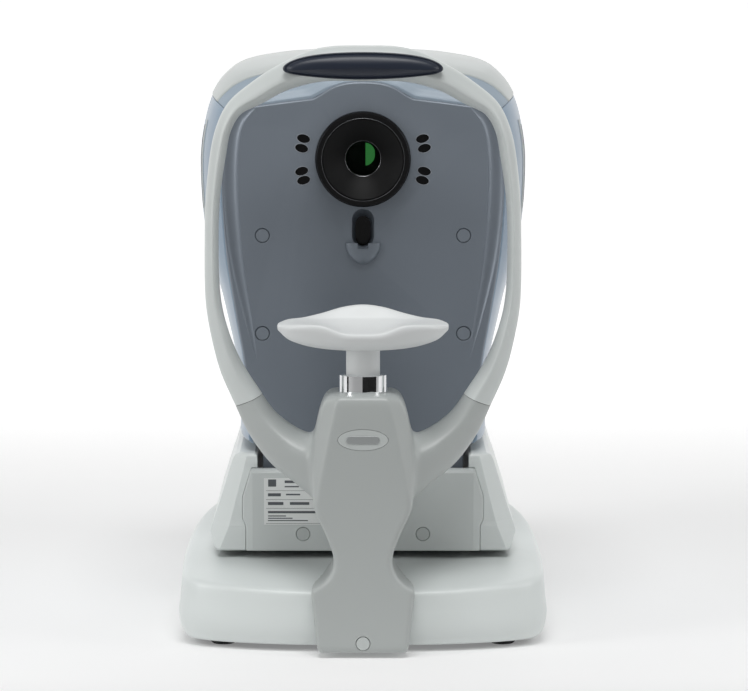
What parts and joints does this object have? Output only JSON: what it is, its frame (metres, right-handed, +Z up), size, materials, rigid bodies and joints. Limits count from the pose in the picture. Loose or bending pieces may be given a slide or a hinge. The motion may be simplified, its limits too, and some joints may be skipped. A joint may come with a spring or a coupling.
{
  "type": "table-top ophthalmic measuring instrument",
  "caption": "Table-top eye measuring instrument with a chin rest column, padded forehead arch, joystick cross-slide stage, lifting measuring head and tilting monitor.",
  "frame": {"origin": "on the table top, under the middle of the instrument's bounding box", "axes": "+X to the right as the patient sees it, -Y towards the patient, +Y towards the operator, +Z up"},
  "size_m": [0.283, 0.504, 0.4569],
  "materials": {
    "white_cover": "satin moulded cover",
    "face_blue_grey": "satin metallic paint",
    "side_blue": "gloss moulded cover",
    "chin_white": "satin white",
    "pad_navy": "smooth soft pad",
    "black_rubber": "moulded foot",
    "chrome": "polished",
    "badge_silver": "brushed plate",
    "ground_steel": "ground rod",
    "sheet_steel": "grey paint",
    "alloy": "machined",
    "bronze": "turned bush",
    "motor_black": "black enamel",
    "dark_plastic": "fine grain",
    "cap_grey": "satin plug",
    "cap_blue_grey": "satin plug",
    "gloss_black": "gloss ring",
    "coated_glass": "green coated lens",
    "port_glass": "dark window",
    "label_white": "plain label",
    "paper_white": "thermal paper",
    "key_grey": "satin key",
    "screen_glass": "dark display glass"
  },
  "bodies": {
    "base": {"base_cover": "white_cover", "base_chassis": "sheet_steel", "rubber_feet": "black_rubber", "x_rails": "ground_steel", "power_supply": "alloy", "power_inlet": "dark_plastic", "column_cover": "white_cover", "column_screw_cap": "cap_grey", "badge_plate": "badge_silver", "chinrest_collar": "chrome", "chinrest_guide": "bronze", "chinrest_motor": "motor_black", "forehead_arch": "white_cover", "forehead_pad": "pad_navy"},
    "power_rocker": {"power_switch": "dark_plastic"},
    "chinrest": {"chinrest_shaft": "chin_white", "chinrest_nut": "bronze", "chinrest_cup": "chin_white"},
    "chin_drive_screw": {"chinrest_screw": "ground_steel"},
    "cross_slide": {"x_carriage": "sheet_steel", "y_rails": "ground_steel"},
    "stage": {"stage_chassis": "sheet_steel", "stage_front_cover": "white_cover", "stage_left_cover": "white_cover", "stage_right_cover": "white_cover", "stage_rear_cover": "white_cover", "rating_label": "label_white", "stage_screw_caps": "cap_grey", "lift_posts": "ground_steel", "lift_motor": "motor_black", "printer_mechanism": "dark_plastic"},
    "head": {"head_chassis": "sheet_steel", "head_face_plate": "face_blue_grey", "face_screw_caps": "cap_blue_grey", "lens_ring": "gloss_black", "lens_hood": "dark_plastic", "objective_lens": "coated_glass", "light_ports": "port_glass", "sensor_lip": "face_blue_grey", "head_top_cover": "white_cover", "head_left_cover": "side_blue", "head_right_cover": "side_blue", "head_rear_cover": "white_cover", "optics_barrel": "motor_black", "dichroic_splitter": "coated_glass", "monitor_bracket": "alloy"},
    "head_drive_screw": {"lift_screw": "ground_steel"},
    "monitor": {"monitor_housing": "white_cover", "monitor_screen": "screen_glass", "monitor_pin": "ground_steel"},
    "joystick_yoke": {"joystick_gimbal": "alloy"},
    "joystick": {"joystick_lever": "dark_plastic", "joystick_grip": "dark_plastic"},
    "height_ring": {"joystick_ring": "dark_plastic"},
    "measure_key": {"measure_button": "alloy"},
    "chin_up_key": {"chin_up_button": "key_grey"},
    "chin_down_key": {"chin_down_button": "key_grey"},
    "printer_lid": {"printer_door": "white_cover"},
    "roll": {"paper_roll": "paper_white"},
    "lock_knob": {"stage_lock_knob": "dark_plastic"}
  },
  "joints": [
    {"name": "power_rocker_tilt", "type": "hinge", "parent": "base", "child": "power_rocker", "pos_m": [0.02, 0.2235, 0.03], "axis": [1, 0, 0], "range_deg": [0, 10]},
    {"name": "chinrest_lift", "type": "slide", "parent": "base", "child": "chinrest", "axis": [0, 0, 1], "range_m": [-0.012, 0.05]},
    {"name": "chin_screw_turn", "type": "hinge", "parent": "base", "child": "chin_drive_screw", "pos_m": [0, -0.218, 0.1], "axis": [0, 0, 1], "range_deg": [-1100, 4520]},
    {"name": "stage_left_right", "type": "slide", "parent": "base", "child": "cross_slide", "axis": [1, 0, 0], "range_m": [-0.045, 0.045]},
    {"name": "stage_fore_aft", "type": "slide", "parent": "cross_slide", "child": "stage", "axis": [0, 1, 0], "range_m": [-0.02, 0.02]},
    {"name": "head_lift", "type": "slide", "parent": "stage", "child": "head", "axis": [0, 0, 1], "range_m": [0, 0.03]},
    {"name": "head_screw_turn", "type": "hinge", "parent": "stage", "child": "head_drive_screw", "pos_m": [0, 0.03, 0.18], "axis": [0, 0, 1], "range_deg": [-5, 2165]},
    {"name": "monitor_tilt", "type": "hinge", "parent": "head", "child": "monitor", "pos_m": [0, 0.139, 0.424], "axis": [1, 0, 0], "range_deg": [0, 40]},
    {"name": "joystick_fore_aft", "type": "hinge", "parent": "stage", "child": "joystick_yoke", "pos_m": [-0.035, 0.2, 0.084], "axis": [1, 0, 0], "range_deg": [-12, 12]},
    {"name": "joystick_left_right", "type": "hinge", "parent": "joystick_yoke", "child": "joystick", "pos_m": [-0.035, 0.2, 0.084], "axis": [0, 1, 0], "range_deg": [-12, 12]},
    {"name": "height_ring_turn", "type": "hinge", "parent": "joystick", "child": "height_ring", "pos_m": [-0.035, 0.2, 0.147], "axis": [0, 0, 1], "continuous": true},
    {"name": "measure_press", "type": "slide", "parent": "joystick", "child": "measure_key", "axis": [0, 0, -1], "range_m": [0, 0.0025], "stiffness_N_per_m": 700, "springref_m": -0.0006},
    {"name": "chin_up_press", "type": "slide", "parent": "stage", "child": "chin_up_key", "axis": [0, 0, -1], "range_m": [0, 0.0015], "stiffness_N_per_m": 900, "springref_m": -0.0005},
    {"name": "chin_down_press", "type": "slide", "parent": "stage", "child": "chin_down_key", "axis": [0, 0, -1], "range_m": [0, 0.0015], "stiffness_N_per_m": 900, "springref_m": -0.0005},
    {"name": "printer_lid_hinge", "type": "hinge", "parent": "stage", "child": "printer_lid", "pos_m": [0.064, 0.155, 0.1236], "axis": [1, 0, 0], "range_deg": [0, 80]},
    {"name": "paper_roll_turn", "type": "hinge", "parent": "stage", "child": "roll", "pos_m": [0.064, 0.185, 0.102], "axis": [1, 0, 0], "continuous": true},
    {"name": "lock_knob_turn", "type": "hinge", "parent": "stage", "child": "lock_knob", "pos_m": [0.064, 0.246, 0.084], "axis": [0, 1, 0], "range_deg": [0, 90]}
  ],
  "couplings": [
    {"joint": "chin_screw_turn", "follows": "chinrest_lift", "rad_per_m": 1570.8},
    {"joint": "head_screw_turn", "follows": "head_lift", "rad_per_m": 1256.6}
  ]
}
